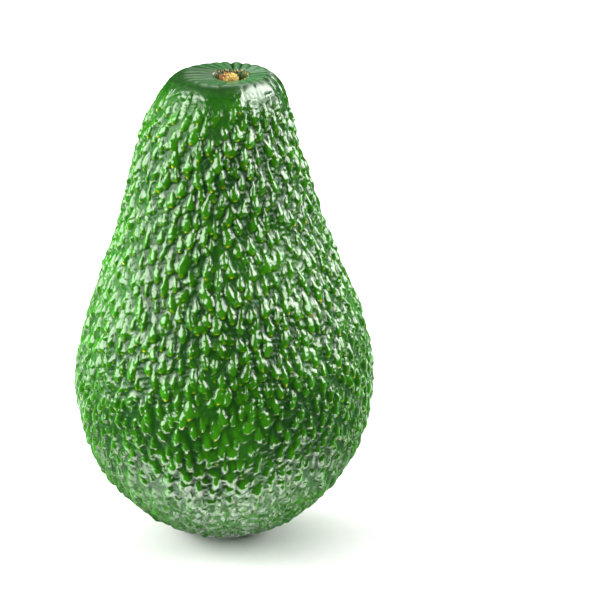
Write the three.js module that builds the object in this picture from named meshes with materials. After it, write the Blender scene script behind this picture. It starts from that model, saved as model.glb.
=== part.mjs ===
// A whole, long-necked avocado with a pebbled green skin. It stands on the small flat spot of its
// blossom end, and the corky end of its stem sits in the cavity at the top.
// Millimetres, +Z up. The origin is the middle of the flat spot, and -Y is the front.
import * as THREE from 'three';
import { ConvexHull } from 'three/addons/math/ConvexHull.js';

// Bulb: the lower body is a quarter ellipse, cut off by the flat spot
const BULB_RADIUS = 35.2;
const BULB_HEIGHT = 37.8;
const BULB_DEPTH = 38.8;

// Neck and shoulder: a knot has a radius, a height and a slope, the radius gained per mm of height
const WAIST = { radius: 23.1, height: 79.3, slope: -0.27 };
const SHOULDER = { radius: 16.0, height: 103.7, slope: -0.38 };
const CREST = { radius: 9.3, height: 111.5 };
const BULB_EASE = 12.0;
const WAIST_EASE_BELOW = 10.2;
const WAIST_EASE_ABOVE = 5.8;
const SHOULDER_EASE_BELOW = 7.6;
const SHOULDER_EASE_ABOVE = 3.2;

// Stem cavity, and the corky button that stands in it a little off centre
const LIP_RADIUS = 4.5;
const LIP_DROP = 0.15;
const CAVITY_DEPTH = 3.4;
const CAVITY_FLOOR_RADIUS = 3.3;
const BUTTON_RADIUS = 2.5;
const BUTTON_HEIGHT = 3.2;
const BUTTON_SHIFT = -0.45;
const BUTTON_SIDES = 20;
const SEAT_GAP = 0.3;

// Sideways shift of the axis at the neck, the crest and the cavity, and low lobes round the body
const NECK_SHIFT = -1.05;
const CREST_SHIFT = 1.4;
const CAVITY_SHIFT = 1.6;
const LOBE = 0.011;

// Pebbles: how many, how high, how much longer than wide, and how far the top of each one sits
// towards its lower end
const PEBBLE_COUNT = 1500;
const PEBBLE_HEIGHT = 1.2;
const PEBBLE_STRETCH = 1.5;
const PEBBLE_JITTER = 0.5;
const PEBBLE_SLUMP = 0.2;

// Share of the pebbles' height that lies below the outline, down in the valleys
const VALLEY_SHARE = 0.62;

// Smooth cap round the cavity, with pleats that run out from the lip
const CAP_LENGTH = 9.0;
const CAP_RINGS = 6;
const PLEATS = 24;
const PLEAT_DEPTH = 0.7;

const FLAT_SPOT_SIDES = 22;
const TURN = 2 * Math.PI;
const GOLDEN_TURN = Math.PI * (3 - Math.sqrt(5));
const SAMPLES = 800;

const { clamp, lerp, smoothstep } = THREE.MathUtils;

// A repeatable number between 0 and 1 for item i and use k
function scatter(i, k) {
  const value = Math.sin(i * 12.9898 + k * 78.233) * 43758.5453;
  return value - Math.floor(value);
}

// The outline, radius across and height up, from the flat spot's edge over the crest to the lip
function outline() {
  const path = new THREE.Path();
  const flatSpot = -Math.asin(BULB_HEIGHT / BULB_DEPTH);
  path.absellipse(0, BULB_HEIGHT, BULB_RADIUS, BULB_DEPTH, flatSpot, 0, false);
  path.bezierCurveTo(
    BULB_RADIUS, BULB_HEIGHT + BULB_EASE,
    WAIST.radius - WAIST_EASE_BELOW * WAIST.slope, WAIST.height - WAIST_EASE_BELOW,
    WAIST.radius, WAIST.height,
  );
  path.bezierCurveTo(
    WAIST.radius + WAIST_EASE_ABOVE * WAIST.slope, WAIST.height + WAIST_EASE_ABOVE,
    SHOULDER.radius - SHOULDER_EASE_BELOW * SHOULDER.slope, SHOULDER.height - SHOULDER_EASE_BELOW,
    SHOULDER.radius, SHOULDER.height,
  );
  path.bezierCurveTo(
    SHOULDER.radius + SHOULDER_EASE_ABOVE * SHOULDER.slope, SHOULDER.height + SHOULDER_EASE_ABOVE,
    CREST.radius + SHOULDER_EASE_ABOVE, CREST.height,
    CREST.radius, CREST.height,
  );
  path.quadraticCurveTo(
    lerp(LIP_RADIUS, CREST.radius, 0.4), CREST.height,
    LIP_RADIUS, CREST.height - LIP_DROP,
  );
  return path;
}

// Lists along the outline: radius, height, the area passed per radian, and a chart in which a
// pebble's cell is as long as it is wide
function tabulate(path) {
  const points = path.getSpacedPoints(SAMPLES);
  const step = path.getLength() / SAMPLES;
  const area = [0];
  const chart = [0];
  for (let i = 1; i <= SAMPLES; i += 1) {
    const radius = (points[i].x + points[i - 1].x) / 2;
    area.push(area[i - 1] + radius * step);
    chart.push(chart[i - 1] + step / (radius * PEBBLE_STRETCH));
  }
  return { step, area, chart, radius: points.map((p) => p.x), height: points.map((p) => p.y) };
}

const TABLE = tabulate(outline());
const LENGTH = TABLE.step * SAMPLES;
const CAP_START = LENGTH - CAP_LENGTH;

// The value of a list at distance s along the outline
function along(list, s) {
  const at = clamp(s / TABLE.step, 0, SAMPLES - 1e-9);
  const low = Math.floor(at);
  return lerp(list[low], list[low + 1], at - low);
}

// The distance along the outline at which a rising list reaches a value
function reach(list, value) {
  const high = Math.max(1, list.findIndex((entry) => entry >= value));
  const low = high - 1;
  return (low + (value - list[low]) / (list[high] - list[low])) * TABLE.step;
}

// Sideways shift of the axis at distance s along the outline
function axisShift(s) {
  const neck = NECK_SHIFT * smoothstep(along(TABLE.height, s), 50, 92);
  const crest = CREST_SHIFT * smoothstep(s, LENGTH - 22, LENGTH - 6);
  const cavity = CAVITY_SHIFT * smoothstep(s, LENGTH - 8, LENGTH);
  return neck + crest + cavity;
}

// Low lobes round the body, which fade out at both ends
function lobes(s, turn) {
  const strength = LOBE * smoothstep(s, 0, 30) * (1 - smoothstep(s, CAP_START, LENGTH));
  return 1 + strength * (Math.sin(2 * turn) + 0.5 * Math.sin(3 * turn + 1));
}

// The point at distance s and angle turn, lifted out of the surface
function place(s, turn, lift) {
  const ahead = Math.min(s + 0.4, LENGTH);
  const behind = Math.max(s - 0.4, 0);
  const rise = along(TABLE.height, ahead) - along(TABLE.height, behind);
  const run = along(TABLE.radius, ahead) - along(TABLE.radius, behind);
  const size = Math.hypot(rise, run);
  const radius = along(TABLE.radius, s) * lobes(s, turn) + (lift * rise) / size;
  return new THREE.Vector3(
    radius * Math.cos(turn) + axisShift(s),
    radius * Math.sin(turn),
    along(TABLE.height, s) - (lift * run) / size,
  );
}

// Strength of the pebbles: low next to the flat spot and next to the cap, full on the body
function relief(s) {
  return lerp(0.3, 1, smoothstep(s, 0, 10)) * lerp(1, 0.3, smoothstep(s, CAP_START - 9, CAP_START));
}

function valleyLift(s) {
  return -VALLEY_SHARE * PEBBLE_HEIGHT * relief(s);
}

// One site for each pebble, on a golden-angle spiral of even area, moved a little inside its cell
function pebbleSites() {
  const cellArea = (TURN * along(TABLE.area, CAP_START)) / PEBBLE_COUNT;
  const width = Math.sqrt(cellArea / PEBBLE_STRETCH);
  const length = width * PEBBLE_STRETCH;
  const first = along(TABLE.area, 0.55 * length);
  const last = along(TABLE.area, CAP_START - 0.45 * length);
  const sites = [];
  for (let i = 0; i < PEBBLE_COUNT; i += 1) {
    const even = reach(TABLE.area, lerp(first, last, (i + 0.5) / PEBBLE_COUNT));
    const moved = even + PEBBLE_JITTER * length * (scatter(i, 1) - 0.5);
    const s = clamp(moved, 0.55 * length, CAP_START - 0.45 * length);
    const aside = (PEBBLE_JITTER * width * (scatter(i, 2) - 0.5)) / along(TABLE.radius, s);
    const size = lerp(0.65, 1.35, scatter(i, 3));
    const lift = (1 - VALLEY_SHARE) * PEBBLE_HEIGHT * relief(s) * size;
    sites.push({ s, turn: i * GOLDEN_TURN + aside, slump: PEBBLE_SLUMP * length, lift });
  }
  return sites;
}

// A ring of sites round the body at distance s, with a lift for each
function ringSites(s, count, liftOf) {
  return Array.from({ length: count }, (_, k) => ({
    s, turn: (TURN * k) / count, slump: 0, lift: liftOf(k),
  }));
}

// A site's place on a unit sphere whose top pole stands for the cavity
function spherePoint(site) {
  const middle = along(TABLE.chart, CAP_START) / 2;
  const polar = 2 * Math.atan(Math.exp(middle - along(TABLE.chart, site.s)));
  const width = Math.sin(polar);
  return new THREE.Vector3(width * Math.cos(site.turn), width * Math.sin(site.turn), Math.cos(polar));
}

// The faces between neighbouring sites: the convex hull on the sphere, without those at the poles
function hullFaces(sites) {
  const points = sites.map(spherePoint);
  const ids = new Map(points.map((point, i) => [point, i]));
  const poles = [new THREE.Vector3(0, 0, 1), new THREE.Vector3(0, 0, -1)];
  const hull = new ConvexHull().setFromPoints([...points, ...poles]);
  const faces = new Map();
  for (const face of hull.faces) {
    const edges = [face.getEdge(0), face.getEdge(1), face.getEdge(2)];
    const corners = edges.map((edge) => ids.get(edge.head().point));
    if (!corners.includes(undefined)) {
      faces.set(face, { edges, corners });
    }
  }
  return { faces, ids };
}

// A mesh under construction: points and triangles, closed with rings and fans
class Shell {
  positions = [];

  triangles = [];

  addPoint(point) {
    this.positions.push(point.x, point.y, point.z);
    return this.positions.length / 3 - 1;
  }

  addRing(points) {
    return points.map((point) => this.addPoint(point));
  }

  // Joins a ring to the next one above it, or further along the outline
  addStrip(lower, upper) {
    lower.forEach((a, k) => {
      const next = (k + 1) % lower.length;
      this.triangles.push(a, lower[next], upper[next], a, upper[next], upper[k]);
    });
  }

  // Closes a ring with a fan that faces up, or down
  addFan(ring, centre, facesUp) {
    const middle = this.addPoint(centre);
    ring.forEach((a, k) => {
      const b = ring[(k + 1) % ring.length];
      this.triangles.push(...(facesUp ? [a, b, middle] : [b, a, middle]));
    });
  }

  geometry() {
    const geometry = new THREE.BufferGeometry();
    geometry.setAttribute('position', new THREE.Float32BufferAttribute(this.positions, 3));
    geometry.setIndex(this.triangles);
    geometry.computeVertexNormals();
    return geometry;
  }
}

// The middle of three sites, with their angles counted from the first one's
function middleOf(sites) {
  const start = sites[0].turn;
  const turns = sites.map((site) => site.turn - TURN * Math.round((site.turn - start) / TURN));
  return {
    s: (sites[0].s + sites[1].s + sites[2].s) / 3,
    turn: (turns[0] + turns[1] + turns[2]) / 3,
  };
}

// The pebbled body: each site is a peak, and the middles of the faces round it are its valley
function addPebbles(shell, sites) {
  const { faces, ids } = hullFaces(sites);
  const peaks = shell.addRing(sites.map((site) => place(site.s - site.slump, site.turn, site.lift)));
  for (const face of faces.values()) {
    const middle = middleOf(face.corners.map((corner) => sites[corner]));
    face.valley = shell.addPoint(place(middle.s, middle.turn, valleyLift(middle.s)));
  }
  for (const face of faces.values()) {
    for (const edge of face.edges) {
      const tail = peaks[ids.get(edge.tail().point)];
      const head = peaks[ids.get(edge.head().point)];
      const across = faces.get(edge.twin.face);
      const third = across ? across.valley : head;
      shell.triangles.push(tail, third, face.valley);
    }
  }
  return peaks;
}

// How deep the pleats are at distance s: none at the cap's edge, deepest next to the lip
function pleatLift(s, k) {
  const strength = smoothstep(s, CAP_START, LENGTH - 4) * lerp(1, 0.6, smoothstep(s, LENGTH - 3, LENGTH));
  return k % 2 === 0 ? 0 : -PLEAT_DEPTH * strength * lerp(0.6, 1.4, scatter(k, 4));
}

// A level ring round the cavity's own axis
function cavityRing(radius, height) {
  const centre = axisShift(LENGTH);
  return Array.from({ length: 2 * PLEATS }, (_, k) => {
    const turn = (TURN * k) / (2 * PLEATS);
    return new THREE.Vector3(centre + radius * Math.cos(turn), radius * Math.sin(turn), height);
  });
}

const LIP_HEIGHT = CREST.height - LIP_DROP;
const CAVITY_FLOOR = LIP_HEIGHT - CAVITY_DEPTH;

// The fruit: flat spot, pebbled body, pleated cap and cavity, as one closed body
function fruitGeometry() {
  const shell = new Shell();
  const flatSpot = ringSites(0, FLAT_SPOT_SIDES, () => 0);
  const capEdge = ringSites(CAP_START, 2 * PLEATS, () => 0);
  const peaks = addPebbles(shell, [...flatSpot, ...capEdge, ...pebbleSites()]);
  shell.addFan(peaks.slice(0, FLAT_SPOT_SIDES), new THREE.Vector3(0, 0, 0), false);

  let ring = peaks.slice(FLAT_SPOT_SIDES, FLAT_SPOT_SIDES + 2 * PLEATS);
  for (let step = 1; step <= CAP_RINGS; step += 1) {
    const s = CAP_START + (CAP_LENGTH * step) / CAP_RINGS;
    const sites = ringSites(s, 2 * PLEATS, (k) => pleatLift(s, k));
    const next = shell.addRing(sites.map((site) => place(site.s, site.turn, site.lift)));
    shell.addStrip(ring, next);
    ring = next;
  }
  const wallRadius = lerp(CAVITY_FLOOR_RADIUS, LIP_RADIUS, 0.6);
  const wall = shell.addRing(cavityRing(wallRadius, LIP_HEIGHT - 0.3 * CAVITY_DEPTH));
  const floor = shell.addRing(cavityRing(CAVITY_FLOOR_RADIUS, CAVITY_FLOOR));
  shell.addStrip(ring, wall);
  shell.addStrip(wall, floor);
  shell.addFan(floor, new THREE.Vector3(axisShift(LENGTH), 0, CAVITY_FLOOR), true);
  return shell.geometry();
}

// The corky button: a short stub with a rough dome, each ring a share of its radius and height
function buttonGeometry() {
  const shell = new Shell();
  const shares = [[0.86, 0], [0.97, 0.3], [1, 0.6], [0.9, 0.8], [0.66, 0.93], [0.34, 0.99]];
  const rings = shares.map(([across, up], level) => {
    const sites = Array.from({ length: BUTTON_SIDES }, (_, k) => {
      const rough = level === 0 ? 1 : lerp(0.93, 1, scatter(k + level * BUTTON_SIDES, 5));
      const turn = (TURN * k) / BUTTON_SIDES;
      const radius = BUTTON_RADIUS * across * rough;
      const height = BUTTON_HEIGHT * up * rough;
      return new THREE.Vector3(radius * Math.cos(turn), radius * Math.sin(turn), height);
    });
    return shell.addRing(sites);
  });
  shell.addFan(rings[0], new THREE.Vector3(0, 0, 0), false);
  for (let level = 1; level < rings.length; level += 1) {
    shell.addStrip(rings[level - 1], rings[level]);
  }
  shell.addFan(rings.at(-1), new THREE.Vector3(0, 0, BUTTON_HEIGHT), true);
  return shell.geometry();
}

function piece(name, geometry, look) {
  const mesh = new THREE.Mesh(geometry, new THREE.MeshStandardMaterial(look));
  mesh.name = name;
  return mesh;
}

const fruit = piece('fruit', fruitGeometry(), { color: '#3c8a24', roughness: 0.35, metalness: 0 });
const button = piece('stem_button', buttonGeometry(), { color: '#c08a3a', roughness: 0.85, metalness: 0 });
button.position.set(axisShift(LENGTH) + BUTTON_SHIFT, 0, CAVITY_FLOOR + SEAT_GAP);

const group = new THREE.Group();
group.add(fruit, button);

export default group;
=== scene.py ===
"""The looks of a whole avocado: fine pebbled skin, pleated cap, corky stem button and a pale stage.

Everything is in metres, in the frame of the packed model, +Z up and -Y to the front.
"""

import math

import bpy
import numpy as np
from bpy.props import FloatProperty, FloatVectorProperty, IntProperty, PointerProperty
from bpy.types import Operator, Panel, PropertyGroup
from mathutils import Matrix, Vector, noise


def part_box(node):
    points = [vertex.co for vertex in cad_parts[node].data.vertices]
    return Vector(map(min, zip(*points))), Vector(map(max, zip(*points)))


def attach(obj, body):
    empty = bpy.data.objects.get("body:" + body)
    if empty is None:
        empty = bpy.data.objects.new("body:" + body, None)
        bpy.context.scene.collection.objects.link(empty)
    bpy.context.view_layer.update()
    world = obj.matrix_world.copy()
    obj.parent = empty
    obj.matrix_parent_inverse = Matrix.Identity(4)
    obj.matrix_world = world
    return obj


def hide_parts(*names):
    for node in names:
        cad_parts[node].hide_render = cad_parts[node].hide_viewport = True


bl_info = {
    "name": "Pebbled avocado",
    "version": (1, 0, 0),
    "blender": (4, 5, 0),
    "location": "3D View > Sidebar > Avocado",
    "description": "Dresses a whole avocado with its skin, stem button and stage",
    "category": "Object",
}

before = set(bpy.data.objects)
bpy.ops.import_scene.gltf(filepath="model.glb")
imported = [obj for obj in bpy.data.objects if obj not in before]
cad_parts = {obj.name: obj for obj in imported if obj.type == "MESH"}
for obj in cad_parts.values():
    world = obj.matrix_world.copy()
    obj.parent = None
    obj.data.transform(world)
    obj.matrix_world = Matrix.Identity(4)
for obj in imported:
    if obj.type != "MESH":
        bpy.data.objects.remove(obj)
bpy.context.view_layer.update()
FRUIT_LOW, FRUIT_HIGH = (Vector(corner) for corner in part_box("fruit"))
BUTTON_LOW, BUTTON_HIGH = (Vector(corner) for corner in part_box("stem_button"))

MM = 0.001
TURN = 2 * math.pi
GOLDEN_TURN = math.pi * (3 - math.sqrt(5))
SAMPLES = 800
BULB_SAMPLES = 600
BAKE_MAP = "OFBake"

# How far a pebble can reach below and above its site in half lengths, and aside in half widths
REACH_BELOW, REACH_ABOVE, REACH_ASIDE = 1.15, 1.75, 1.5
SMALLEST_RADIUS = 3 * MM

# Depth, size, number and seed of the waves in the body: broad, fine, and wrinkled near the base
BROAD_WAVES = (0.12 * MM, 9 * MM, 7, 5)
FINE_WAVES = (0.06 * MM, 1.5 * MM, 12, 6)
WRINKLE_WAVES = (0.15 * MM, 2.6 * MM, 16, 7)

# A pebble's profile: its upper part is a longer, narrower and lower tail
TAIL_LENGTH = 1.65
TAIL_NARROWING = 0.26
TAIL_FALL = 0.28
EDGE_SHARPNESS = 2.5
EDGE_SOFTENING_BELOW = 0.7
END_ROUNDNESS = 0.55
TAIL_ROUNDNESS = 0.45

# The corky speck of a pebble: down and long in half lengths, wide and aside in half widths
SPECK_DOWN = 0.72
SPECK_LENGTH = 0.16
SPECK_WIDTH = 0.38
SPECK_ASIDE = 0.6

SMALLEST_PEBBLE, LARGEST_PEBBLE = 0.65, 1.35
FILLER_STRETCH = 1.25
FILLER_ASIDE = 0.5

# Pleats, the front of the lip and the one small dent of the cap
PLEAT_SHARE_ON_TOP = 0.78
DEEPEST_PLEATS_TURN = 1.0
GROOVE_SHARPNESS = 7
NARROW_GROOVE_SHARE = 0.65
LIP_DROOP = 0.6 * MM
DENT_TURN = 1.80 * math.pi
DENT_FROM_LIP = 10.1 * MM
DENT_RING_RADIUS = 12.5 * MM
DENT_DEPTH, DENT_LENGTH, DENT_WIDTH = 0.40 * MM, 0.85 * MM, 0.5 * MM

# Faces of the small pieces and of the floor
BASE_RINGS = 9
CAVITY_RINGS = 22
BUTTON_RINGS, BUTTON_SIDES = 44, 120
TICKS, TICK_SIDES = 34, 8
FLOOR_SIDES = 96
FLOOR_RADII = (0.02, 0.06, 0.12, 0.20, 0.35, 0.55, 0.80)

WAX_IOR = 1.5

# The room to the eye, and its tint in reflections
ROOM_COLOUR, ROOM_BRIGHTNESS = (1, 1, 1), 0.95
ROOM_TINT = (0.97, 1, 0.98)

# Side softboxes: side, name, degrees from the front, degrees up, and their share of the rim light
SIDE_SOFTBOXES = ((-1, "left", 72, 26, 1.5), (1, "right", 82, 34, 1.0))
SIDE_DISTANCE, RIM_DISTANCE = 0.55, 0.60
SIDE_SIZE, RIM_SIZE = (0.66, 0.44), (0.50, 0.50)
RIM_BESIDE, RIM_BEHIND, RIM_UP = 0.94, 0.34, 0.10

# The other softboxes: places, and sizes as width and height
TOP_PLACE, TOP_AIM, TOP_SIZE = Vector((0, 0.3, 1.2)), Vector((0, 0.3, 0)), (2.4, 2.0)
TOP_GLEAM_PLACE, TOP_GLEAM_SIZE = Vector((0.14, 0.42, 0.60)), (0.50, 0.34)
SHOULDER_DIRECTION, SHOULDER_SIZE, SHOULDER_SHARE = Vector((0.74, 0.20, 0.66)), (0.46, 0.36), 0.6
WALL_PLACE, WALL_SIZE = Vector((0, 0.75, 0.35)), (1.8, 0.9)

# Bright strips and areas of the floor, seen in the gloss alone: name, x, y, width, depth, share
FLOOR_GLEAMS = (
    ("1", 0, -0.0360, 0.170, 0.0046, 1.40), ("2", 0, -0.0290, 0.160, 0.0036, 1.20),
    ("3", 0, -0.0235, 0.150, 0.0028, 0.85), ("4", 0, -0.0190, 0.140, 0.0024, 0.36),
    ("5", 0, -0.0140, 0.130, 0.0024, 0.20), ("6", 0, -0.0095, 0.120, 0.0024, 0.12),
    ("behind", 0, 0.033, 0.120, 0.074, 0.09),
    ("left", -0.17, 0.18, 0.22, 0.30, 0.21), ("right", 0.17, 0.18, 0.22, 0.30, 0.21),
)
FLOOR_GLEAM_HEIGHT = 0.4 * MM


# Settings: sizes and colours that a user would change

def length(name, description, default):
    """A size in metres."""
    return FloatProperty(name=name, description=description, default=default, unit="LENGTH", precision=5)


def factor(name, description, default):
    """A plain number."""
    return FloatProperty(name=name, description=description, default=default)


def colour(name, description, default):
    """A colour, as linear red, green and blue."""
    return FloatVectorProperty(
        name=name, description=description, default=default, subtype="COLOR", size=3, min=0, max=1
    )


class AvocadoShape(PropertyGroup):
    """The outline of the fruit, from the flat spot up to the cavity."""

    bulb_radius: length("Bulb radius", "Radius at the widest place", 35.2 * MM)
    bulb_height: length("Bulb height", "Height of the widest place", 37.8 * MM)
    bulb_depth: length("Bulb depth", "Half height of the ellipse below the widest place", 38.8 * MM)
    bulb_ease: length("Bulb ease", "How far the outline stays upright above the bulb", 12.0 * MM)
    waist_radius: length("Waist radius", "Radius halfway up the neck", 23.1 * MM)
    waist_height: length("Waist height", "Height of the waist", 79.3 * MM)
    waist_slope: factor("Waist slope", "Radius gained per height at the waist", -0.27)
    waist_ease_below: length("Waist ease below", "Straight stretch below the waist", 10.2 * MM)
    waist_ease_above: length("Waist ease above", "Straight stretch above the waist", 5.8 * MM)
    shoulder_radius: length("Shoulder radius", "Radius at the shoulder", 16.0 * MM)
    shoulder_height: length("Shoulder height", "Height of the shoulder", 103.7 * MM)
    shoulder_slope: factor("Shoulder slope", "Radius gained per height at the shoulder", -0.38)
    shoulder_ease_below: length("Shoulder ease below", "Straight stretch below the shoulder", 7.6 * MM)
    shoulder_ease_above: length("Shoulder ease above", "Straight stretch above the shoulder", 3.2 * MM)
    crest_radius: length("Crest radius", "Radius of the highest ring", 9.3 * MM)
    lip_radius: length("Lip radius", "Radius of the cavity's lip", 4.5 * MM)
    lip_drop: length("Lip drop", "How far the lip lies below the crest", 0.15 * MM)
    cavity_depth: length("Cavity depth", "Depth of the stem cavity under its lip", 3.4 * MM)
    cavity_floor_radius: length("Cavity floor", "Radius of the cavity's floor", 3.3 * MM)
    neck_shift: length("Neck shift", "Sideways shift of the neck", -1.05 * MM)
    crest_shift: length("Crest shift", "Further shift of the crest", 1.4 * MM)
    cavity_shift: length("Cavity shift", "Further shift of the cavity", 1.6 * MM)
    lobe: factor("Lobe", "Share of the radius in the low lobes", 0.011)


class AvocadoRelief(PropertyGroup):
    """Pebbles of the body and pleats of the cap."""

    pebble_count: IntProperty(name="Pebbles", description="Number of large pebbles", default=1500)
    filler_count: IntProperty(
        name="Fillers", description="Number of small pebbles between them", default=1500
    )
    pebble_height: length("Pebble height", "Height of a pebble in the solid model", 1.2 * MM)
    pebble_ease: factor("Pebble ease", "Height of the fine pebbles over that of the solid model", 0.74)
    pebble_stretch: factor("Pebble stretch", "Length of a pebble's cell over its width", 1.5)
    pebble_jitter: factor("Pebble jitter", "How far a pebble moves inside its cell", 0.5)
    pebble_slump: factor("Pebble slump", "How far the top of a pebble sits towards its lower end", 0.2)
    valley_share: factor("Valley share", "Share of the height that lies below the outline", 0.62)
    cap_length: length("Cap length", "Length of the smooth cap from the lip outwards", 9.0 * MM)
    pleats: IntProperty(name="Pleats", description="Number of pleats round the lip", default=24)
    pleat_depth: length("Pleat depth", "Depth of the pleats next to the lip", 0.7 * MM)
    columns: IntProperty(name="Columns", description="Faces round the skin", default=700)
    rows: IntProperty(name="Rows", description="Faces along the skin", default=480)


class AvocadoColours(PropertyGroup):
    """Colours of the skin, the cork and the floor."""

    # Valley and flank, darker than the crown, carry painted shade that deepens from the pebbles' crowns
    # down into the valleys.
    valley: colour("Valley", "Skin down between the pebbles", (0.006, 0.045, 0.004))
    flank: colour("Flank", "Skin on the sides of the pebbles", (0.013, 0.076, 0.002))
    crown: colour("Crown", "Skin on top of the pebbles", (0.026, 0.168, 0.003))
    tip: colour("Tip", "Yellower skin at a pebble's lower tip", (0.090, 0.230, 0.003))
    cap: colour("Cap", "Smooth skin round the cavity", (0.006, 0.030, 0.004))
    # Painted sheen: a paler green laid on the tops of the folds round the cavity, strongest on the right.
    ridge_sheen: colour("Ridge", "Paler skin on the folds round the cavity", (0.050, 0.165, 0.055))
    sheen: colour("Sheen", "Tint of the waxy gloss", (0.98, 1.0, 0.955))
    speck: colour("Speck", "Corky speck at a pebble's lower tip", (0.620, 0.400, 0.010))
    rust: colour("Rust", "Darker, rusty specks", (0.170, 0.020, 0.003))
    hollow: colour("Hollow", "Skin down inside the cavity", (0.030, 0.055, 0.008))
    cork: colour("Cork", "Corky end of the stem", (0.800, 0.600, 0.110))
    cork_shade: colour("Cork shade", "Browner parts of the cork", (0.560, 0.250, 0.030))
    cork_spot: colour("Cork spot", "Red-brown spots in the cork", (0.150, 0.022, 0.006))
    floor: colour("Floor", "Floor under the fruit", (0.780, 0.780, 0.776))


class AvocadoStage(PropertyGroup):
    """Camera and light."""

    distance: length("Distance", "Camera to fruit", 1.2)
    elevation: factor("Elevation", "Camera height as an angle in degrees", 18.0)
    aim_right: length("Aim right", "How far right of the fruit the camera looks", 17.9 * MM)
    aim_height: length("Aim height", "Height that the camera looks at", 56.4 * MM)
    view_width: length("View width", "Width that the picture covers at the fruit", 140.5 * MM)
    side_gleam: factor("Side gleam", "Brightness of the side softboxes in the gloss", 12.7)
    side_fill: factor("Side fill", "Brightness of the side softboxes on matt colour", 10.8)
    rim_light: factor("Rim light", "Brightness of the softboxes beside and behind, on matt colour", 11.0)
    top_light: factor("Top light", "Brightness of the wide light overhead, on matt colour", 1.3)
    top_gleam: factor("Top gleam", "Brightness of the softbox overhead, in the gloss", 3.0)
    back_light: factor("Back light", "Brightness of the wall behind the fruit, on matt colour", 2.4)
    back_gleam: factor("Back gleam", "Brightness of the wall behind the fruit, in the gloss", 1.2)
    floor_gleam: factor("Floor gleam", "Brightness of the floor in the gloss", 10.0)
    room_light: factor("Room light", "Brightness of the room in reflections", 0.01)


# Numbers and curves that the pieces share

def scatter(item, use):
    """A repeatable number between 0 and 1 for an item and a use."""
    value = np.sin(item * 12.9898 + use * 78.233) * 43758.5453
    return value - np.floor(value)


def smoothstep(value, low, high):
    """0 below low, 1 above high, and a smooth rise between them."""
    t = np.clip((value - low) / (high - low), 0, 1)
    return t * t * (3 - 2 * t)


def blend(first, second, share):
    """A value between two others."""
    return first + (second - first) * share


def pick(low, high, item, use):
    """A repeatable number between two others."""
    return float(blend(low, high, scatter(item, use)))


def bezier(points, count=300):
    """Points on a Bezier curve of any degree."""
    t = np.linspace(0, 1, count)[:, None]
    layer = [np.array(point, float)[None, :] for point in points]
    while len(layer) > 1:
        layer = [blend(a, b, t) for a, b in zip(layer, layer[1:])]
    return layer[0]


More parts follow.
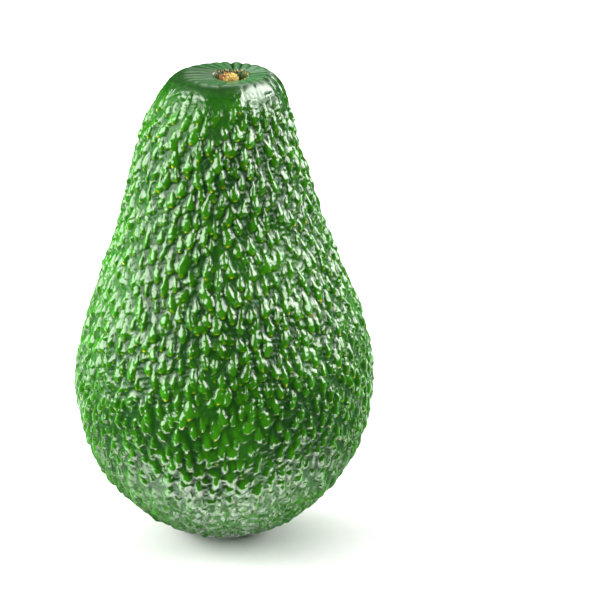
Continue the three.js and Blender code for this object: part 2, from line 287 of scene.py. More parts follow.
class Outline:
    """The fruit's outline, its lists along the outline, and places on the fruit."""

    def __init__(self, shape, relief):
        self.shape = shape
        self.relief = relief
        self.crest_height = FRUIT_HIGH.z
        points = self.trace()
        steps = np.hypot(*np.diff(points, axis=0).T)
        distance = np.concatenate([[0], np.cumsum(steps)])
        self.length = distance[-1]
        self.s = np.linspace(0, self.length, SAMPLES + 1)
        self.radius = np.interp(self.s, distance, points[:, 0])
        self.height = np.interp(self.s, distance, points[:, 1])
        middles = (self.radius[1:] + self.radius[:-1]) / 2
        self.area = np.concatenate([[0], np.cumsum(middles) * self.length / SAMPLES])
        self.cap_start = self.length - relief.cap_length

    def trace(self):
        """Radius and height of closely spaced points from the flat spot to the lip."""
        p = self.shape
        crest = self.crest_height

        def handle(radius, height, slope, along):
            """A curve's handle, at a slope from a point of the outline."""
            return radius + along * slope, height + along

        flat_spot = -math.asin(p.bulb_height / p.bulb_depth)
        angle = np.linspace(flat_spot, 0, BULB_SAMPLES)
        bulb = np.stack([
            p.bulb_radius * np.cos(angle), p.bulb_height + p.bulb_depth * np.sin(angle)
        ], axis=1)
        waist = p.waist_radius, p.waist_height
        top = p.shoulder_radius, p.shoulder_height
        belly = bezier([
            (p.bulb_radius, p.bulb_height),
            (p.bulb_radius, p.bulb_height + p.bulb_ease),
            handle(*waist, p.waist_slope, -p.waist_ease_below),
            waist,
        ])
        neck = bezier([
            waist,
            handle(*waist, p.waist_slope, p.waist_ease_above),
            handle(*top, p.shoulder_slope, -p.shoulder_ease_below),
            top,
        ])
        shoulder = bezier([
            top,
            handle(*top, p.shoulder_slope, p.shoulder_ease_above),
            (p.crest_radius + p.shoulder_ease_above, crest),
            (p.crest_radius, crest),
        ])
        lip = bezier([
            (p.crest_radius, crest),
            (blend(p.lip_radius, p.crest_radius, 0.4), crest),
            (p.lip_radius, crest - p.lip_drop),
        ])
        return np.concatenate([bulb, belly[1:], neck[1:], shoulder[1:], lip[1:]])

    def at(self, values, s):
        """The value of one of the lists at distance s."""
        return np.interp(s, self.s, values)

    def shift(self, s):
        """Sideways shift of the axis at distance s."""
        p = self.shape
        end = self.length
        neck = p.neck_shift * smoothstep(self.at(self.height, s), 50 * MM, 92 * MM)
        crest = p.crest_shift * smoothstep(s, end - 22 * MM, end - 6 * MM)
        cavity = p.cavity_shift * smoothstep(s, end - 8 * MM, end)
        return neck + crest + cavity

    def lobes(self, s, turn):
        """Low lobes round the body, which fade out at both ends."""
        fade = smoothstep(s, 0, 30 * MM) * (1 - smoothstep(s, self.cap_start, self.length))
        return 1 + self.shape.lobe * fade * (np.sin(2 * turn) + 0.5 * np.sin(3 * turn + 1))

    def place(self, s, turn, lift):
        """Points at distance s and angle turn, lifted out of the surface."""
        reach = 0.4 * MM
        ahead = np.minimum(s + reach, self.length)
        behind = np.maximum(s - reach, 0)
        rise = self.at(self.height, ahead) - self.at(self.height, behind)
        run = self.at(self.radius, ahead) - self.at(self.radius, behind)
        size = np.hypot(rise, run)
        radius = self.at(self.radius, s) * self.lobes(s, turn) + lift * rise / size
        return np.stack([
            radius * np.cos(turn) + self.shift(s),
            radius * np.sin(turn),
            self.at(self.height, s) - lift * run / size,
        ], axis=-1)

    def strength(self, s):
        """Strength of the pebbles: low next to the flat spot and the cap, full on the body."""
        at_flat_spot, at_cap = 0.3, 0.3
        base = blend(at_flat_spot, 1, smoothstep(s, 0, 10 * MM))
        return base * blend(1, at_cap, smoothstep(s, self.cap_start - 9 * MM, self.cap_start))

    def low(self, s):
        """1 on the lowest part of the fruit, where the skin is flatter and more wrinkled, and 0 above."""
        return 1 - smoothstep(self.at(self.height, s), 9 * MM, 23 * MM)


class Field:
    """Relief of the skin on a grid of rows along the outline and columns round it."""

    def __init__(self, outline):
        relief = outline.relief
        self.outline = outline
        self.s = np.linspace(0, outline.length, relief.rows + 1)
        self.turn = np.arange(relief.columns) * TURN / relief.columns
        shape = (len(self.s), len(self.turn))
        self.rise = np.zeros(shape)
        self.tip = np.zeros(shape)
        self.tone = np.full(shape, 0.5)
        self.radius = outline.at(outline.radius, self.s)
        self.grid = np.meshgrid(self.s, self.turn, indexing="ij")
        self.surface = outline.place(*self.grid, 0.0)
        self.warp_along = self.wander(0.18 * MM, 11)
        self.warp_across = self.wander(0.14 * MM, 13)

    def wander(self, depth, seed):
        """Broad and fine waves that bend the outlines of the pebbles."""
        broad = waves(self.surface, depth, 3.0 * MM, 9, seed)
        return broad + waves(self.surface, 0.04 * MM, 1.0 * MM, 9, seed + 1)

    def stamp(self, s, turn, half_width, half_length, height, lean, tilt, tone, speck):
        """Raises one drop-shaped pebble: round and steep at its lower end, fading at its top."""
        outline = self.outline
        row_step = self.s[1] - self.s[0]
        column_step = self.turn[1] - self.turn[0]
        first = max(0, int((s - REACH_BELOW * half_length) / row_step))
        last = min(len(self.s) - 1, int((s + REACH_ABOVE * half_length) / row_step) + 1)
        rows = np.arange(first, last + 1)
        local = max(outline.at(outline.radius, s), SMALLEST_RADIUS)
        reach = int(REACH_ASIDE * half_width / local / column_step) + 1
        middle = int(round(turn / column_step))
        columns = np.arange(middle - reach, middle + reach + 1)
        window = np.ix_(rows, columns % len(self.turn))
        along = (self.s[rows][:, None] + self.warp_along[window] - s) / half_length
        angle = columns * column_step - turn
        across = (angle[None, :] * self.radius[rows][:, None] + self.warp_across[window]) / half_width
        across = across - lean * along

        top = np.maximum(along, 0)
        narrow = 1 - TAIL_NARROWING * smoothstep(along, -0.3, 1.5)
        far = np.hypot(across / narrow, np.where(along < 0, along, along / TAIL_LENGTH))
        softer = EDGE_SOFTENING_BELOW * smoothstep(outline.at(outline.height, s), 45 * MM, 30 * MM)
        inside = np.clip(1 - far ** (EDGE_SHARPNESS - softer), 0, 1)
        rounded = inside ** (END_ROUNDNESS + TAIL_ROUNDNESS * top)
        bump = height * rounded * (1 - TAIL_FALL * top) * (1 + tilt * across)
        speck_across = (across - SPECK_ASIDE * tilt) / SPECK_WIDTH
        speck_along = (along + SPECK_DOWN) / SPECK_LENGTH
        spot = np.exp(-(speck_across ** 2) - speck_along ** 2) * speck

        wins = bump > self.rise[window]
        self.rise[window] = np.where(wins, bump, self.rise[window])
        self.tone[window] = np.where(wins, tone, self.tone[window])
        self.tip[window] = np.where(wins, spot, self.tip[window])


def pebble_sites(outline, count, stretch, use):
    """Sites on a golden-angle spiral of even area, each moved a little inside its cell."""
    relief = outline.relief
    start = outline.cap_start
    cell = TURN * outline.at(outline.area, start) / count
    width = math.sqrt(cell / stretch)
    tall = width * stretch
    item = np.arange(count)
    low, high = 0.55 * tall, start - 0.45 * tall
    first, last = outline.at(outline.area, low), outline.at(outline.area, high)
    even = np.interp(blend(first, last, (item + 0.5) / count), outline.area, outline.s)
    s = np.clip(even + relief.pebble_jitter * tall * (scatter(item, use) - 0.5), low, high)
    aside = relief.pebble_jitter * width * (scatter(item, use + 1) - 0.5)
    turn = item * GOLDEN_TURN + aside / outline.at(outline.radius, s)
    return item, s, turn % TURN, width, tall


def raise_pebbles(field):
    """Large pebbles at the model's own sites, and small ones that show in the valleys between."""
    outline = field.outline
    relief = outline.relief
    item, s, turn, width, tall = pebble_sites(outline, relief.pebble_count, relief.pebble_stretch, 1)
    share = scatter(item, 3)
    size = blend(SMALLEST_PEBBLE, LARGEST_PEBBLE, share)
    flatter_below = 0.4
    strength = outline.strength(s) * (1 - flatter_below * outline.low(s) ** 2)
    top = relief.pebble_height * relief.pebble_ease
    for i in item:
        field.stamp(
            s[i] - 0.5 * relief.pebble_slump * tall, turn[i],
            half_width=width * pick(0.27, 0.45, i, 11) * size[i] ** 0.6,
            half_length=tall * pick(0.32, 0.54, i, 12) * size[i] ** 0.6,
            height=top * strength[i] * blend(0.70, 1.15, share[i]),
            lean=pick(-0.35, 0.35, i, 13),
            tilt=pick(-0.55, 0.55, i, 16),
            tone=scatter(i, 14),
            speck=1.0 if scatter(i, 15) < 0.82 else 0.45,
        )
    item, s, turn, width, tall = pebble_sites(outline, relief.filler_count, FILLER_STRETCH, 21)
    strength = outline.strength(s)
    turn = (turn + FILLER_ASIDE * width / outline.at(outline.radius, s)) % TURN
    for i in item:
        field.stamp(
            s[i], turn[i],
            half_width=width * pick(0.20, 0.44, i, 23),
            half_length=tall * pick(0.22, 0.50, i, 24),
            height=top * strength[i] * pick(0.25, 0.68, i, 25),
            lean=pick(-0.4, 0.4, i, 26),
            tilt=pick(-0.5, 0.5, i, 29),
            tone=scatter(i, 27),
            speck=0.95 if scatter(i, 28) < 0.65 else 0.4,
        )


def pleat_lift(outline, s, turn):
    """Rounded folds that run out from the lip, with narrow grooves of uneven depth between them."""
    relief = outline.relief
    end = outline.length
    on_top = smoothstep(s, outline.cap_start, end - 4 * MM)
    on_shoulder = smoothstep(s, outline.cap_start - 6 * MM, outline.cap_start + 1 * MM)
    strength = PLEAT_SHARE_ON_TOP * on_top + (1 - PLEAT_SHARE_ON_TOP) * on_shoulder
    strength = strength * blend(1, 0.6, smoothstep(s, end - 3 * MM, end))
    strength = strength * blend(0.35, 1.1, 0.5 + 0.5 * np.cos(turn - DEEPEST_PLEATS_TURN))
    sector = np.floor(turn * relief.pleats / TURN)
    depth = blend(0.30, 1.45, scatter(2 * sector + 1, 4) ** 2)
    wander = 0.7 * np.sin(3 * turn + 0.30 * (end - s) / MM) + 0.4 * np.sin(7 * turn)
    across = np.abs(np.sin(0.5 * relief.pleats * turn + 0.5 * wander * strength))
    groove = blend(across ** 2, across ** GROOVE_SHARPNESS, NARROW_GROOVE_SHARE)
    return -relief.pleat_depth * strength * depth * groove


def fold_sheen(outline, s, turn):
    """Share of the painted sheen, a paler colour on top of the folds near the lip that is strongest on the
    right: none in the grooves or on the left.
    """
    end = outline.length
    top = np.clip(1 + 2.2 * pleat_lift(outline, s, turn) / outline.relief.pleat_depth, 0, 1)
    return 0.8 * top * np.sqrt(0.5 + 0.5 * np.cos(turn)) * smoothstep(s, end - 7 * MM, end - 4 * MM)


def lip_droop(turn):
    """How much lower the cavity's lip lies at the front than at the back."""
    return LIP_DROOP * (0.5 - 0.5 * np.sin(turn)) ** 2


def dent(outline, s, turn):
    """Depth of one small lens-shaped dent on the right of the cap's front."""
    away = (turn - DENT_TURN) * DENT_RING_RADIUS
    along = s - (outline.length - DENT_FROM_LIP)
    slanted = (away + 0.5 * along) / DENT_LENGTH
    return DENT_DEPTH * np.exp(-(slanted ** 2) - (along / DENT_WIDTH) ** 2)


def waves(points, depth, size, count, seed):
    """Smooth noise of a depth and a size in metres, from a few seeded waves."""
    random = np.random.default_rng(seed)
    total = np.zeros(points.shape[:-1])
    for _ in range(count):
        direction = random.normal(size=3)
        direction /= np.linalg.norm(direction)
        wave = random.uniform(0.7, 1.5) * TURN / size
        total += np.sin(points @ direction * wave + random.uniform(0, TURN))
    return depth * (total / math.sqrt(count))


# Meshes

def ring_faces(rows, columns, first=0):
    """Quads between successive rings of a closed tube, row after row."""
    row = np.arange(rows - 1)[:, None] * columns
    column = np.arange(columns)[None, :]
    after = (column + 1) % columns
    quads = np.stack([
        row + column, row + after, row + columns + after, row + columns + column,
    ], axis=-1)
    return quads.reshape(-1, 4) + first


def smooth_mesh(name, points, faces):
    """A mesh with smooth shading."""
    mesh = bpy.data.meshes.new(name)
    mesh.from_pydata(points, [], faces)
    mesh.polygons.foreach_set("use_smooth", np.ones(len(mesh.polygons), bool))
    mesh.update()
    return mesh


def ring_shell(name, rings):
    """A closed mesh from rings of points, with a fan at each end and a map along the rings."""
    rows, columns = rings.shape[:2]
    bottom = rings[0].mean(axis=0)
    top = rings[-1].mean(axis=0)
    points = np.concatenate([rings.reshape(-1, 3), [bottom, top]])
    quads = ring_faces(rows, columns)
    column = np.arange(columns)
    after = (column + 1) % columns
    low = np.stack([after, column, np.full(columns, rows * columns)], axis=-1)
    last = (rows - 1) * columns
    high = np.stack([last + column, last + after, np.full(columns, rows * columns + 1)], axis=-1)

    mesh = smooth_mesh(name, points.tolist(), quads.tolist() + low.tolist() + high.tolist())
    step_u, step_v = 1 / columns, 1 / (rows + 1)
    u = np.tile(column * step_u, rows - 1)
    v = np.repeat((np.arange(rows - 1) + 1) * step_v, columns)
    quad_map = np.stack([
        u, v, u + step_u, v, u + step_u, v + step_v, u, v + step_v,
    ], axis=-1).reshape(-1, 2)
    u = column * step_u
    edge_low, edge_high = np.full(columns, step_v), np.full(columns, rows * step_v)
    low_map = np.stack([u + step_u, edge_low, u, edge_low, u + step_u / 2, 0 * u], axis=-1)
    high_map = np.stack([u, edge_high, u + step_u, edge_high, u + step_u / 2, 0 * u + 1], axis=-1)
    layer = mesh.uv_layers.new(name=BAKE_MAP)
    everything = np.concatenate([quad_map, low_map.reshape(-1, 2), high_map.reshape(-1, 2)])
    layer.uv.foreach_set("vector", everything.astype(np.float32).ravel())
    mesh.update()
    return mesh


def add_values(mesh, name, values):
    """A number for each point of a mesh, which its material reads."""
    attribute = mesh.attributes.new(name, "FLOAT", "POINT")
    full = np.zeros(len(mesh.vertices), np.float32)
    full[:values.size] = values.ravel()
    attribute.data.foreach_set("value", full)


def add_piece(name, mesh, material, slot, *nodes):
    """Links a piece, ties it to the model's body and hides the nodes that it stands in for; slot is not
    used.
    """
    piece = bpy.data.objects.new(name, mesh)
    bpy.context.scene.collection.objects.link(piece)
    mesh.materials.append(material)
    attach(piece, "root")
    if nodes:
        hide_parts(*nodes)
    return piece


# Materials

def arithmetic(operation, swapped=False):
    """An operator of Socket, which adds a Math node."""
    def operator(self, other):
        pair = (other, self) if swapped else (self, other)
        return self.finish.math(operation, *pair)
    return operator


class Socket:
    """An output of a node, which can stand in sums and products."""

    def __init__(self, finish, socket):
        self.finish = finish
        self.socket = socket

    __add__, __radd__ = arithmetic("ADD"), arithmetic("ADD", swapped=True)
    __sub__, __rsub__ = arithmetic("SUBTRACT"), arithmetic("SUBTRACT", swapped=True)
    __mul__, __rmul__ = arithmetic("MULTIPLY"), arithmetic("MULTIPLY", swapped=True)


class Finish:
    """A material under construction."""

    def __init__(self, name):
        self.material = bpy.data.materials.new(name)
        self.material.use_nodes = True
        self.nodes = self.material.node_tree.nodes
        self.links = self.material.node_tree.links
        self.nodes.clear()

    def add(self, kind, settings=None, inputs=None, output=0):
        """One node: its settings first, then the values or links of its sockets."""
        node = self.nodes.new(kind)
        for name, value in (settings or {}).items():
            setattr(node, name, value)
        for name, value in (inputs or {}).items():
            target = node.inputs[name]
            if isinstance(value, Socket):
                self.links.new(value.socket, target)
            elif target.type == "RGBA":
                target.default_value = (*value, 1)
            else:
                target.default_value = value
        return Socket(self, node.outputs[output]) if node.outputs else None

    def math(self, operation, first, second):
        """One Math node."""
        return self.add("ShaderNodeMath", {"operation": operation}, {0: first, 1: second})

    def mix(self, first, second, mask):
        """A colour between two others."""
        settings = {"data_type": "RGBA", "clamp_factor": True}
        return self.add("ShaderNodeMix", settings, {0: mask, 6: first, 7: second}, 2)

    def step(self, value, low, high):
        """0 below low, 1 above high, and a smooth rise between them."""
        settings = {"interpolation_type": "SMOOTHSTEP"}
        inputs = {"Value": value, "From Min": low, "From Max": high}
        return self.add("ShaderNodeMapRange", settings, inputs)

    def values(self, name):
        """Numbers stored on the mesh."""
        return self.add("ShaderNodeAttribute", {"attribute_name": name}, output="Fac")

    def place(self, stretch=(1, 1, 1)):
        """Places on the object, in metres, squeezed along the axes."""
        spot = self.add("ShaderNodeTexCoord", output="Object")
        return self.add("ShaderNodeMapping", {}, {"Vector": spot, "Scale": stretch})

    def noise(self, vector, size, detail, roughness=0.5, distortion=0.0):
        """Noise with features of a size in metres."""
        inputs = {
            "Vector": vector, "Scale": 1 / size, "Detail": detail,
            "Roughness": roughness, "Distortion": distortion,
        }
        return self.add("ShaderNodeTexNoise", {}, inputs, "Fac")

    def cells(self, vector, size, feature="F1"):
        """Distance to the nearest point, or edge, of cells of a size in metres."""
        inputs = {"Vector": vector, "Scale": 1 / size}
        return self.add("ShaderNodeTexVoronoi", {"feature": feature}, inputs, "Distance")

    def bump(self, height, depth, normal=None):
        """A normal from a height between 0 and 1 that stands for a depth in metres."""
        inputs = {"Height": height, "Distance": depth, "Strength": 1.0}
        if normal:
            inputs["Normal"] = normal
        return self.add("ShaderNodeBump", {}, inputs, "Normal")

    def shader(self, inputs):
        """A Principled surface."""
        return self.add("ShaderNodeBsdfPrincipled", {}, inputs)

    def surface(self, shader):
        """The finished material."""
        self.add("ShaderNodeOutputMaterial", {}, {"Surface": shader})
        return self.material


def skin_material(colours):
    """Waxy green skin: painted shade in the dark valleys below bright crowns, a painted sheen on the cap's
    folds, corky specks and fine crinkles.
    """
    f = Finish("avocado_skin")
    spot = f.place()
    rise, tone, cap = f.values("rise"), f.values("tone"), f.values("cap")
    mottle = f.noise(spot, 2.2 * MM, 3)
    drift = f.noise(spot, 22 * MM, 2)

    # The green darkens from the crowns down into the valleys: painted shade between the pebbles.
    height = rise + (mottle - 0.5) * 0.25
    green = f.mix(colours.valley, colours.flank, f.step(height, 0.02, 0.34))
    green = f.mix(green, colours.crown, f.step(height, 0.30, 0.85) * (0.45 + 0.55 * tone))
    lighter = tuple(min(1, 1.6 * c) for c in colours.crown)
    green = f.mix(green, lighter, f.step(drift, 0.45, 0.75) * 0.3)
    body = f.mix(green, colours.valley, f.step(f.noise(spot, 6 * MM, 2), 0.56, 0.74) * 0.3)
    smooth_cap = f.mix(colours.cap, colours.flank, f.step(f.noise(spot, 1.4 * MM, 4), 0.45, 0.70) * 0.5)
    low = f.values("low")
    # Lighter green towards the base, where the painted shade of the valleys is thinned.
    body = f.mix(body, colours.crown, low * 0.45)
    # The cap's dark green, with painted sheen on the tops of its folds.
    body = f.mix(body, f.mix(smooth_cap, colours.ridge_sheen, f.values("ridge_sheen")), cap)

    grain = f.noise(spot, 0.45 * MM, 2)
    tip = f.values("tip") * (0.7 + 0.6 * grain)
    body = f.mix(body, colours.tip, f.step(tip, 0.12, 0.55) * 0.75)
    speck = f.step(tip + (tone - 0.5) * 0.25, 0.70, 0.88)
    speck_colour = f.mix(colours.speck, colours.rust, f.step(f.noise(spot, 1.7 * MM, 1), 0.54, 0.58))
    body = f.mix(body, speck_colour, speck)
    body = f.mix(body, colours.rust, f.values("scar"))
    hollow = f.values("hollow")
    body = f.mix(body, colours.hollow, hollow)

    smooth = f.step(rise + 1.5 * cap, 0.06, 0.34)
    crinkle = f.noise(f.place((1, 1, 0.6)), 0.60 * MM, 2, 0.5, 1.2)
    granules = 1 - f.cells(spot, 0.9 * MM)
    fine = f.bump((crinkle + 0.5 * granules) * (1 - smooth * 0.96) * (1 - 0.7 * low), 0.12 * MM)
    wrinkles = f.bump(f.noise(spot, 2.4 * MM, 1, 0.5, 0.8) * low, 1.3 * MM, fine)
    pits = f.noise(spot, 0.9 * MM, 2, 0.5)
    dents = f.bump(pits * (1 - 0.85 * cap) * (1 - 0.6 * low), 0.11 * MM, wrinkles)
    streaks = f.noise(f.place((1, 1, 0.35)), 0.34 * MM, 2, 0.5)
    normal = f.bump(streaks * (1 - 0.8 * cap) * (1 - 0.7 * low), 0.05 * MM, dents)
    waxy = f.shader({
        "Base Color": body, "Roughness": 0.09 + 0.06 * grain + 0.18 * cap, "Normal": normal,
        "IOR": WAX_IOR, "Specular IOR Level": 0.5, "Specular Tint": colours.sheen,
    })
    dull = f.shader({
        "Base Color": body, "Roughness": 0.38 + 0.2 * grain, "Normal": normal,
        "IOR": WAX_IOR, "Specular IOR Level": 0.04,
    })
    matt = f.step(f.noise(spot, 1.5 * MM, 2, 0.5, 0.6), 0.45, 0.53) * f.step(low, 0.05, 0.75)
    share = 0.32 + 0.68 * smooth + 0.5 * low
    share = share * (1 - 0.6 * speck) * (1 - 0.8 * hollow) * (1 - 0.88 * matt)
    return f.surface(f.add("ShaderNodeMixShader", {}, {0: share, 1: dull, 2: waxy}))


def cork_material(name, colours, spotted):
    """Dry yellow-orange cork with dark cracks, and with red-brown spots most of all at the back left."""
    f = Finish(name)
    spot = f.place()
    cloud = f.noise(spot, 0.9 * MM, 4, 0.6)
    cork = f.mix(colours.cork, colours.cork_shade, f.step(cloud, 0.42, 0.70))
    back_left_per_metre = (-400, 300, 0)
    product = {"operation": "DOT_PRODUCT"}
    back_left = f.add("ShaderNodeVectorMath", product, {0: spot, 1: back_left_per_metre}, "Value")
    blotchy = f.noise(spot, 0.8 * MM, 2, 0.5) + 0.34 * f.step(back_left, -1.2, 0.3)
    blots = f.step(blotchy, 0.57, 0.63) * spotted
    cork = f.mix(cork, colours.cork_spot, blots)
    cracks = 1 - f.step(f.cells(spot, 0.7 * MM, "DISTANCE_TO_EDGE"), 0.0, 0.10)
    cork = f.mix(cork, tuple(0.25 * c for c in colours.cork_spot), cracks * 0.7)
    grain = f.noise(spot, 0.14 * MM, 3, 0.6)
    normal = f.bump(grain - cracks, 0.09 * MM)
    return f.surface(f.shader({
        "Base Color": cork, "Roughness": 0.62 + 0.25 * grain, "Normal": normal,
        "Specular IOR Level": 0.35,
    }))


def floor_material(colours):
    """Pale matt floor with a barely seen grain."""
    f = Finish("stage_floor")
    grain = f.noise(f.place(), 6 * MM, 3)
    darker = tuple(0.97 * c for c in colours.floor)
    return f.surface(f.shader({
        "Base Color": f.mix(darker, colours.floor, grain), "Roughness": 0.6, "Specular IOR Level": 0.2,
    }))


# Operators: one for each piece, and one for the stage

def fail(operator, words):
    """Stops the script, because a cancelled operator wouldn't."""
    operator.report({"ERROR"}, words)
    raise RuntimeError(words)


class AVOCADO_OT_skin(Operator):
    """Builds the skin over the whole fruit: pebbled body, pleated cap, cavity and flat spot"""

    bl_idname = "avocado.skin"
    bl_label = "Skin"

    def execute(self, context):
        scene = context.scene
        outline = Outline(scene.avocado_shape, scene.avocado_relief)
        field = Field(outline)
        raise_pebbles(field)
        body = self.body_rings(outline, field)
        base = self.base_rings(body[0])
        cavity = self.cavity_rings(outline, field, body[-1])
        rings = np.concatenate([base, body, cavity])
        mesh = ring_shell("skin", rings)

        rows = len(rings)
        before, after = len(base), len(cavity)

        def stretched(values, at_base=0.0, in_cavity=0.0):
            """Values of the body's rings, with one value each for the flat spot and the cavity."""
            full = np.full(rings.shape[:2], at_base)
            full[before:rows - after] = values
            full[rows - after:] = in_cavity
            return full

        cap = smoothstep(field.s, outline.cap_start - 2.5 * MM, outline.cap_start + 2 * MM)
        # Painted sheen on the tops of the folds round the cavity.
        ridge_sheen = fold_sheen(outline, *field.grid)
        scar = np.zeros(rings.shape[:2])
        scar_radius = 1.3 * MM
        scar[:before] = np.exp(-((np.hypot(base[..., 0], base[..., 1]) / scar_radius) ** 4))
        top = scene.avocado_relief.pebble_height * scene.avocado_relief.pebble_ease
        add_values(mesh, "rise", stretched(np.clip(field.rise / top, 0, 1)))
        add_values(mesh, "tip", stretched(field.tip))
        add_values(mesh, "tone", stretched(field.tone, 0.5, 0.5))
        add_values(mesh, "cap", stretched(cap[:, None], in_cavity=1.0))
        add_values(mesh, "ridge_sheen", stretched(ridge_sheen))
        add_values(mesh, "scar", scar)
        hollow = np.zeros(rings.shape[:2])
        hollow[rows - after:] = smoothstep(np.arange(after), 0, 5)[:, None]
        add_values(mesh, "hollow", hollow)
        add_values(mesh, "low", stretched(outline.low(field.s)[:, None], at_base=1.0))
        if rows * len(field.turn) + 2 != len(mesh.vertices):
            fail(self, "the skin's rings don't fit its mesh")
        add_piece("skin", mesh, skin_material(scene.avocado_colours), "skin", "fruit")
        return {"FINISHED"}

    @staticmethod
    def body_rings(outline, field):
        """Rings from the flat spot to the lip, with pebbles, pleats and a gentle unevenness."""
        relief = outline.relief
        s, turn = field.grid
        end = outline.length
        low = outline.low(s)
        off_cap = 1 - smoothstep(s, outline.cap_start - 2 * MM, outline.cap_start + 2 * MM)
        valley = -relief.valley_share * relief.pebble_height * outline.strength(s) * off_cap
        broad = waves(field.surface, *BROAD_WAVES)
        fine = waves(field.surface, *FINE_WAVES) * off_cap * (1 - 0.7 * low)
        wrinkled = waves(field.surface, *WRINKLE_WAVES) * low
        off_ends = smoothstep(s, 0, 6 * MM) * (1 - smoothstep(s, end - 6 * MM, end))
        uneven = (broad + fine + wrinkled) * off_ends
        droop = lip_droop(turn) * smoothstep(s, end - 6 * MM, end)
        lift = valley + field.rise + pleat_lift(outline, s, turn) + uneven - droop - dent(outline, s, turn)
        slump = 0.28 * field.rise * smoothstep(s, 2 * MM, 8 * MM)
        return outline.place(np.maximum(s - slump, 0), turn, lift * smoothstep(s, -0.5 * MM, 0.8 * MM))

    @staticmethod
    def base_rings(edge):
        """Rings of the flat spot, from its middle out to the body's first ring."""
        shares = np.linspace(0.04, 0.97, BASE_RINGS)[:, None, None]
        return shares * edge[None] * np.array([1, 1, 0])

    @staticmethod
    def cavity_rings(outline, field, lip):
        """Rings down the cavity's wall, which carries the pleats on, and across its floor."""
        p = outline.shape
        centre = np.array([outline.shift(outline.length), 0, 0])
        spoke = lip - centre
        across = np.hypot(spoke[:, 0], spoke[:, 1])
        direction = np.stack([spoke[:, 0] / across, spoke[:, 1] / across, 0 * across], axis=-1)
        floor_height = outline.crest_height - p.lip_drop - p.cavity_depth
        inward, downward = 0.6, 1.35
        rib_depth, floor_wave = 0.10 * MM, 0.05 * MM
        rings = []
        for share in np.linspace(0, 1, CAVITY_RINGS)[1:]:
            radius = blend(across, p.cavity_floor_radius, share ** inward)
            height = blend(lip[:, 2], floor_height, share ** downward)
            ribs = rib_depth * np.sin(field.turn * outline.relief.pleats) * (1 - share)
            ring = centre + direction * (radius + ribs)[:, None]
            ring[:, 2] = height
            rings.append(ring)
        for share in (0.8, 0.55, 0.3, 0.1):
            ring = centre + direction * p.cavity_floor_radius * share
            ring[:, 2] = floor_height + floor_wave * np.sin(5 * field.turn) * share * (1 - share)
            rings.append(ring)
        return np.array(rings)


class AVOCADO_OT_button(Operator):
    """Builds the corky stem button and the cork ticks round the inside of the lip"""

    bl_idname = "avocado.button"
    bl_label = "Stem button"

    def execute(self, context):
        colours = context.scene.avocado_colours
        mesh = ring_shell("stem_cork", self.button_rings())
        add_piece("stem_cork", mesh, cork_material("stem_cork", colours, 0.85), "stem", "stem_button")
        ticks = self.ticks(Outline(context.scene.avocado_shape, context.scene.avocado_relief))
        add_piece("lip_cork", ticks, cork_material("lip_cork", colours, 0.45), "stem")
        return {"FINISHED"}

    @staticmethod
    def button_rings():
        """Rings of a rough dome, cracked on top."""
        size = BUTTON_HIGH - BUTTON_LOW
        centre = (BUTTON_HIGH + BUTTON_LOW) / 2
        radius, height = size.x / 2, size.z
        shares = np.array([
            (0.84, 0), (0.95, 0.08), (0.98, 0.3), (1, 0.55), (0.96, 0.72), (0.86, 0.84),
            (0.70, 0.92), (0.5, 0.965), (0.28, 0.99), (0.05, 1.0),
        ])
        level = np.linspace(0, len(shares) - 1, BUTTON_RINGS)
        across = np.interp(level, np.arange(len(shares)), shares[:, 0])
        up = np.interp(level, np.arange(len(shares)), shares[:, 1])
        turns = np.arange(BUTTON_SIDES) * TURN / BUTTON_SIDES
        lumps_per_radius, lumps_start = 2.6, Vector((3, 7, 1))
        cracks_per_radius, cracks_start, crack_width = 2.9, Vector((5, 2, 0)), 0.14
        inset = 0.97
        rings = []
        for ring_across, ring_up in zip(across, up):
            ring = []
            for turn in turns:
                spot = Vector((ring_across * math.cos(turn), ring_across * math.sin(turn), ring_up))
                lumps = noise.fractal(spot * lumps_per_radius + lumps_start, 0.8, 2.0, 4)
                near = noise.voronoi(spot * cracks_per_radius + cracks_start)[0]
                crack = max(0.0, 1 - (near[1] - near[0]) / crack_width)
                rough = (0.10 * lumps - 0.10 * crack) * min(1.0, 4 * ring_up)
                out = inset + 0.5 * rough
                ring.append((
                    centre.x + radius * spot.x * out,
                    centre.y + radius * spot.y * out,
                    BUTTON_LOW.z + height * min(1.0, spot.z * inset + rough * ring_up * 0.8),
                ))
            rings.append(ring)
        return np.array(rings)

    @staticmethod
    def ticks(outline):
        """Small corky slivers on the wall just inside the lip, one or two in each pleat."""
        points, faces = [], []
        centre_x = float(outline.shift(outline.length))
        levels = (-1, -0.7, -0.25, 0.25, 0.7, 1)
        lean_out, thickness = 0.35, 0.8
        for i in range(TICKS):
            turn = (i + pick(0, 0.6, i, 31)) * TURN / TICKS
            tall = pick(0.35, 0.90, i, 32) * MM
            wide = pick(0.12, 0.24, i, 33) * MM
            radius = outline.shape.lip_radius - pick(0.22, 0.48, i, 34) * MM
            below_crest = pick(0.35, 0.75, i, 35) * MM + float(lip_droop(turn))
            out = Vector((math.cos(turn), math.sin(turn), 0))
            side = Vector((-math.sin(turn), math.cos(turn), 0))
            up = Vector((0, 0, 1)) + out * lean_out + side * pick(-0.4, 0.4, i, 36)
            middle = Vector((centre_x, 0, outline.crest_height - below_crest)) + out * radius
            first = len(points)
            for level in levels:
                girth = math.sqrt(max(0.02, 1 - level * level))
                for k in range(TICK_SIDES):
                    angle = k * TURN / TICK_SIDES
                    rough = pick(0.75, 1.2, i * 64 + k + 8 * level, 37)
                    offset = side * math.cos(angle) * wide + out * math.sin(angle) * wide * thickness
                    points.append(middle + up * level * tall * 0.5 + offset * girth * rough)
            faces += ring_faces(len(levels), TICK_SIDES, first).tolist()
            last = first + TICK_SIDES * (len(levels) - 1)
            faces.append(tuple(first + k for k in reversed(range(TICK_SIDES))))
            faces.append(tuple(last + k for k in range(TICK_SIDES)))
        return smooth_mesh("lip_cork", [tuple(point) for point in points], faces)


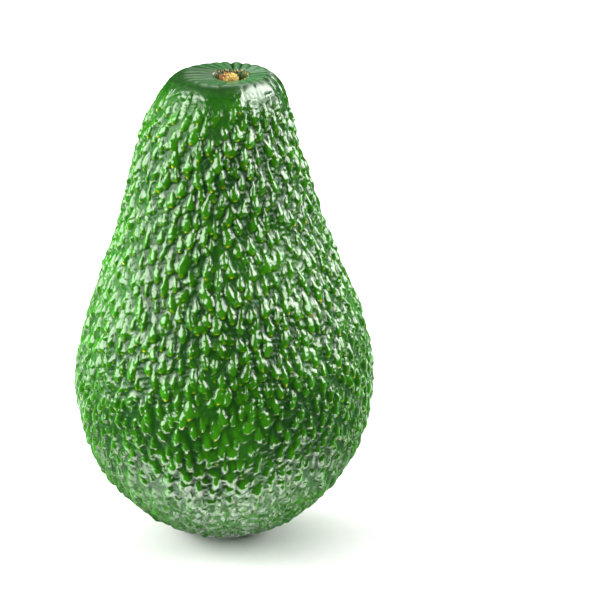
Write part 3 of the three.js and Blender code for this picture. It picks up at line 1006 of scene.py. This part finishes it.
class AVOCADO_OT_stage(Operator):
    """Sets up the pale floor, the soft lights and the camera"""

    bl_idname = "avocado.stage"
    bl_label = "Stage"

    def execute(self, context):
        scene = context.scene
        stage = scene.avocado_stage
        self.floor(scene)
        self.room(scene, stage)
        middle = Vector((0, 0, (FRUIT_LOW.z + FRUIT_HIGH.z) / 2))
        for side, name, away, high, rim_share in SIDE_SOFTBOXES:
            away, up = math.radians(away), math.radians(high)
            place = middle + SIDE_DISTANCE * Vector((
                side * math.sin(away) * math.cos(up), -math.cos(away) * math.cos(up), math.sin(up)
            ))
            self.gleam(scene, "gleam_" + name, place, middle, SIDE_SIZE, stage.side_gleam)
            self.fill(scene, "fill_" + name, place, middle, SIDE_SIZE, stage.side_fill)
            place = middle + RIM_DISTANCE * Vector((side * RIM_BESIDE, RIM_BEHIND, RIM_UP))
            self.fill(scene, "rim_" + name, place, middle, RIM_SIZE, rim_share * stage.rim_light)
        self.fill(scene, "light_top", TOP_PLACE, TOP_AIM, TOP_SIZE, stage.top_light)
        self.gleam(scene, "gleam_top", TOP_GLEAM_PLACE, middle, TOP_GLEAM_SIZE, stage.top_gleam)
        place = middle + SIDE_DISTANCE * SHOULDER_DIRECTION
        brightness = SHOULDER_SHARE * stage.side_gleam
        self.gleam(scene, "gleam_shoulder", place, middle, SHOULDER_SIZE, brightness)
        self.fill(scene, "light_back", WALL_PLACE, middle, WALL_SIZE, stage.back_light)
        self.gleam(scene, "gleam_back", WALL_PLACE, middle, WALL_SIZE, stage.back_gleam)
        for name, x, y, wide, deep, share in FLOOR_GLEAMS:
            place, above = Vector((x, y, FLOOR_GLEAM_HEIGHT)), Vector((x, y, 1))
            brightness = share * stage.floor_gleam
            strip = self.gleam(scene, "gleam_floor_" + name, place, above, (wide, deep), brightness)
            strip.rotation_euler = (math.pi, 0, 0)
        self.camera(scene, stage)
        scene.view_settings.view_transform = "Standard"
        scene.view_settings.look = "None"
        return {"FINISHED"}

    @staticmethod
    def floor(scene):
        """A round floor, wide enough to fill the picture behind the fruit."""
        turns = np.arange(FLOOR_SIDES) * TURN / FLOOR_SIDES
        rings = np.array([
            [(r * math.cos(t), r * math.sin(t), 0) for t in turns] for r in reversed(FLOOR_RADII)
        ])
        points = rings.reshape(-1, 3).tolist() + [(0, 0, 0)]
        faces = ring_faces(len(FLOOR_RADII), FLOOR_SIDES).tolist()
        last = (len(FLOOR_RADII) - 1) * FLOOR_SIDES
        centre = len(points) - 1
        faces += [(last + k, last + (k + 1) % FLOOR_SIDES, centre) for k in range(FLOOR_SIDES)]
        mesh = bpy.data.meshes.new("floor")
        mesh.from_pydata(points, [], faces)
        mesh.materials.append(floor_material(scene.avocado_colours))
        floor = bpy.data.objects.new("floor", mesh)
        scene.collection.objects.link(floor)
        floor.visible_glossy = False

    @staticmethod
    def room(scene, stage):
        """A room that is pale to the eye and dim in reflections, so that the green keeps its depth."""
        world = bpy.data.worlds.new("room")
        scene.world = world
        world.use_nodes = True
        nodes, links = world.node_tree.nodes, world.node_tree.links
        nodes.clear()
        path = nodes.new("ShaderNodeLightPath")
        mix = nodes.new("ShaderNodeMixShader")
        output = nodes.new("ShaderNodeOutputWorld")
        reflected, seen = (ROOM_TINT, stage.room_light), (ROOM_COLOUR, ROOM_BRIGHTNESS)
        for number, (tint, brightness) in enumerate((reflected, seen)):
            background = nodes.new("ShaderNodeBackground")
            background.inputs["Color"].default_value = (*tint, 1)
            background.inputs["Strength"].default_value = brightness
            links.new(background.outputs[0], mix.inputs[number + 1])
        links.new(path.outputs["Is Camera Ray"], mix.inputs[0])
        links.new(mix.outputs[0], output.inputs[0])

    @staticmethod
    def softbox(scene, name, place, aim, size, brightness):
        """A soft rectangular light of a given brightness, whatever its size."""
        data = bpy.data.lights.new(name, "AREA")
        data.shape = "RECTANGLE"
        data.size, data.size_y = size
        data.energy = brightness * math.pi * size[0] * size[1]
        light = bpy.data.objects.new(name, data)
        light.location = place
        light.rotation_euler = (aim - place).to_track_quat("-Z", "Y").to_euler()
        light.visible_camera = False
        scene.collection.objects.link(light)
        return light

    @classmethod
    def gleam(cls, scene, *where_and_how):
        """A softbox that shows in the gloss alone."""
        light = cls.softbox(scene, *where_and_how)
        light.visible_diffuse = False
        return light

    @classmethod
    def fill(cls, scene, *where_and_how):
        """A softbox that lights matt colour alone."""
        light = cls.softbox(scene, *where_and_how)
        light.visible_glossy = False
        return light

    @staticmethod
    def camera(scene, stage):
        """The camera at the photograph's angle, with the fruit left of the middle."""
        data = bpy.data.cameras.new("camera")
        data.sensor_width = 36
        data.lens = data.sensor_width * stage.distance / stage.view_width
        data.clip_start, data.clip_end = 0.01, 20
        aim = Vector((stage.aim_right, 0, stage.aim_height))
        tilt = math.radians(stage.elevation)
        camera = bpy.data.objects.new("camera", data)
        camera.location = aim + stage.distance * Vector((0, -math.cos(tilt), math.sin(tilt)))
        camera.rotation_euler = (math.pi / 2 - tilt, 0, 0)
        scene.collection.objects.link(camera)
        scene.camera = camera


class AVOCADO_PT_panel(Panel):
    """Lists the avocado's settings and operators"""

    bl_label = "Avocado"
    bl_idname = "AVOCADO_PT_panel"
    bl_space_type = "VIEW_3D"
    bl_region_type = "UI"
    bl_category = "Avocado"

    def draw(self, context):
        layout = self.layout
        for operator in OPERATORS:
            layout.operator(operator.bl_idname)
        for name, group in GROUPS.items():
            box = layout.box()
            box.label(text=group.__doc__)
            for setting in group.__annotations__:
                box.prop(getattr(context.scene, name), setting)


GROUPS = {
    "avocado_shape": AvocadoShape,
    "avocado_relief": AvocadoRelief,
    "avocado_colours": AvocadoColours,
    "avocado_stage": AvocadoStage,
}
OPERATORS = (AVOCADO_OT_stage, AVOCADO_OT_skin, AVOCADO_OT_button)


def register():
    """Registers the settings, the operators and the panel."""
    for cls in (*GROUPS.values(), *OPERATORS, AVOCADO_PT_panel):
        bpy.utils.register_class(cls)
    for name, group in GROUPS.items():
        setattr(bpy.types.Scene, name, PointerProperty(type=group))


def unregister():
    """Takes everything out again."""
    for cls in reversed((*OPERATORS, AVOCADO_PT_panel)):
        bpy.utils.unregister_class(cls)
    for name, group in GROUPS.items():
        delattr(bpy.types.Scene, name)
        bpy.utils.unregister_class(group)


def main():
    """Builds the stage and the pieces."""
    register()
    bpy.ops.avocado.stage()
    bpy.ops.avocado.skin()
    bpy.ops.avocado.button()


if __name__ == "__main__":
    main()
